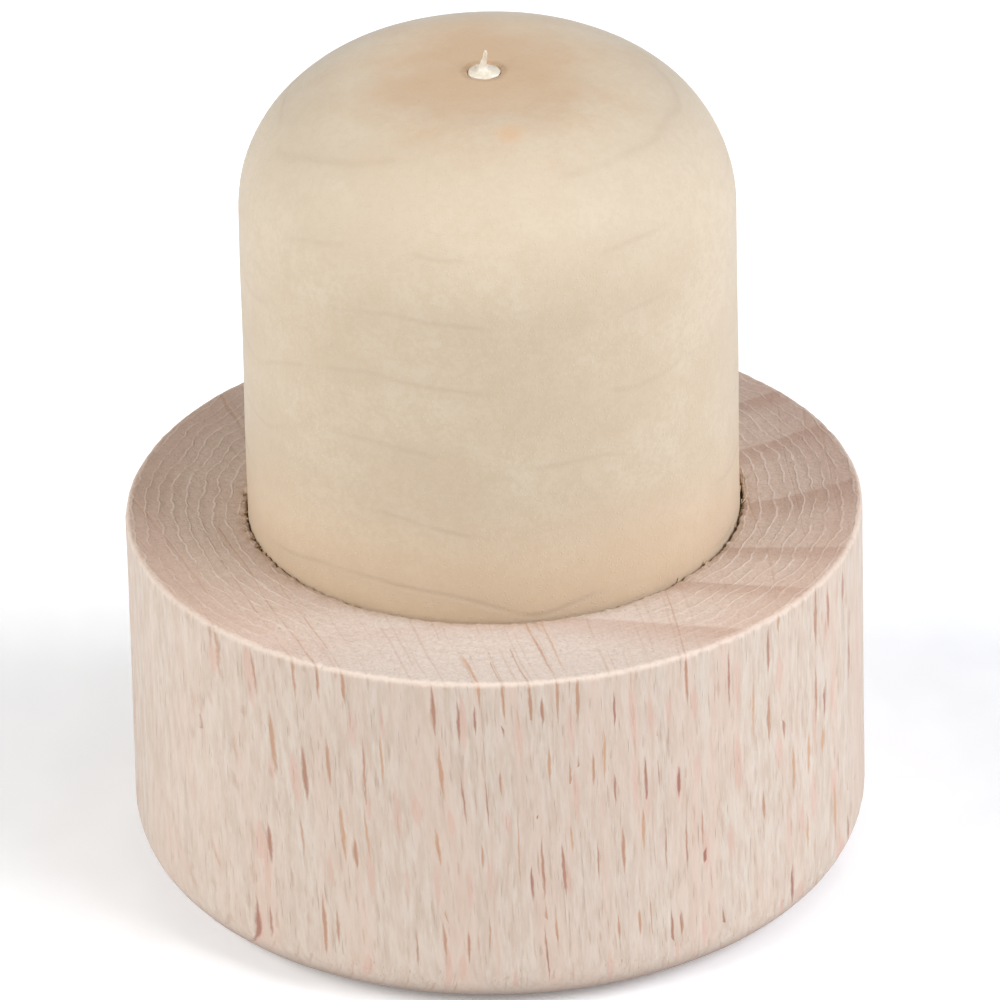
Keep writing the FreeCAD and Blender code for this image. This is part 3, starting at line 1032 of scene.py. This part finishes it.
# %% Pull the whisker
WHISKER_STEPS = [
    # height, radius and lean to the right, in millimetres above the floor of the recess
    (0.22, 0.620, 0.00),
    (0.31, 0.660, 0.00),
    (0.36, 0.590, 0.00),
    (0.39, 0.360, -0.02),
    (0.45, 0.220, -0.05),
    (0.54, 0.160, -0.05),
    (0.67, 0.135, -0.03),
    (0.80, 0.120, 0.00),
    (0.85, 0.092, 0.03),
    (1.00, 0.084, 0.05),
    (1.13, 0.078, 0.07),
    (1.25, 0.045, 0.07),
]
WHISKER_FOOT = 0.58 * MM

bpy.ops.object.select_all(action="DESELECT")
bpy.ops.mesh.primitive_circle_add(vertices=28, radius=WHISKER_FOOT, fill_type="NGON",
                                  location=(0.0, 0.0, 0.0))
whisker = bpy.context.object
whisker.name = "gate_whisker"
bpy.ops.object.mode_set(mode="EDIT")
bpy.ops.mesh.select_all(action="SELECT")
bpy.ops.transform.translate(value=(0.0, 0.0, GATE_FLOOR + 0.01 * MM))
height, radius, lean = 0.0, WHISKER_FOOT, 0.0
for step in WHISKER_STEPS:
    next_height, next_radius, next_lean = (value * MM for value in step)
    bpy.ops.mesh.extrude_region_move(
        TRANSFORM_OT_translate={"value": (next_lean - lean, 0.0, next_height - height)})
    bpy.ops.transform.resize(value=(next_radius / radius, next_radius / radius, 1.0),
                             center_override=(next_lean, 0.0, 0.0))
    height, radius, lean = next_height, next_radius, next_lean
bpy.ops.mesh.select_all(action="SELECT")
bpy.ops.mesh.normals_make_consistent(inside=False)
bpy.ops.object.mode_set(mode="OBJECT")
smoother = whisker.modifiers.new("rounded", "SUBSURF")
smoother.levels = smoother.render_levels = 2
bpy.ops.object.modifier_apply(modifier=smoother.name)
print("whisker drawn out in", len(WHISKER_STEPS), "steps")

# %% Roughen the whisker
mound = weigh(whisker, "mound", lambda radius, angle, z: 1 - (z - GATE_FLOOR) / (0.5 * WHISKER_HEIGHT))
roughen(whisker, mound, 0.3 * MM, 0.14 * MM, depth=1)
spike = weigh(whisker, "spike", lambda radius, angle, z: (z - GATE_FLOOR) / WHISKER_HEIGHT)
roughen(whisker, spike, 0.12 * MM, 0.03 * MM, depth=2)
bpy.ops.object.shade_smooth()

whisker.data.materials.append(torn_plastic)
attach(whisker, "root")
print("whisker", [round(side / MM, 2) for side in whisker.dimensions])

# %% [markdown]
# ## Torn fibres round the socket
# Boring into end grain tears fibres loose at the edge. One curved splinter is modelled and copied
# round the mouth, thickly on the left, less so on the right and thinly elsewhere. The copies are
# turned and sized at random from a fixed seed, and joined into one piece.

# %% One splinter
FIBRE_LENGTH = 0.55 * MM
FIBRE_ROOT = 0.035 * MM
FIBRE_POINT = 0.006 * MM
FIBRE_CURL = math.radians(50)

bpy.ops.object.select_all(action="DESELECT")
bpy.ops.mesh.primitive_cone_add(vertices=6, radius1=FIBRE_ROOT, radius2=FIBRE_POINT,
                                depth=FIBRE_LENGTH, location=(0.0, 0.0, 0.0))
pattern = bpy.context.object
pattern.name = "socket_fibres"
bpy.ops.object.mode_set(mode="EDIT")
bpy.ops.mesh.select_all(action="SELECT")
bpy.ops.mesh.bisect(plane_co=(0.0, 0.0, 0.0), plane_no=(0.0, 0.0, 1.0))
bpy.ops.object.mode_set(mode="OBJECT")
curl = pattern.modifiers.new("curl", "SIMPLE_DEFORM")
curl.deform_method = "BEND"
curl.deform_axis = "X"
curl.angle = FIBRE_CURL
bpy.ops.object.modifier_apply(modifier=curl.name)
print("splinter", len(pattern.data.polygons), "faces")

# %% Splinters round the socket
FIBRE_COUNT = 210
fibre_luck = random.Random(7)

splinters = [pattern]
for _ in range(FIBRE_COUNT - 1):
    copy = pattern.copy()
    copy.data = pattern.data.copy()
    bpy.context.scene.collection.objects.link(copy)
    splinters.append(copy)
for splinter in splinters:
    # Half of the splinters are on the left, where the cutter left the wood, and a fifth on the right.
    luck = fibre_luck.random()
    angle = fibre_luck.uniform(0, 2 * math.pi)
    if luck < 0.5:
        angle = math.pi + fibre_luck.gauss(0.0, 0.42)
    elif luck < 0.7:
        angle = fibre_luck.gauss(0.1, 0.25)
    radius = SOCKET_RADIUS + fibre_luck.uniform(-0.1, 0.08) * MM
    splinter.location = (radius * math.cos(angle), radius * math.sin(angle),
                         SHOULDER - fibre_luck.uniform(0.02, 0.2) * MM)
    splinter.rotation_euler = (fibre_luck.uniform(1.0, 2.1), fibre_luck.uniform(-0.5, 0.5),
                               angle + fibre_luck.uniform(-0.9, 0.9))
    size = fibre_luck.uniform(0.4, 1.0)
    splinter.scale = (size * 1.3, size * 1.3, size)
    splinter.select_set(True)
bpy.context.view_layer.objects.active = pattern
bpy.ops.object.transform_apply(location=True, rotation=True, scale=True)
bpy.ops.object.join()
bpy.ops.object.shade_smooth()

pattern.data.materials.append(torn_fibre)
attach(pattern, "root")
print("fibres", len(pattern.data.polygons), "faces")

# %% [markdown]
# ## The glue
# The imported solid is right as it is, deep in the socket, so it only gets its finish.

# %% Glue
glue = frame["nodes"]["glue"]
glue.data.materials.clear()
glue.data.materials.append(hot_melt)
print("glue finished")
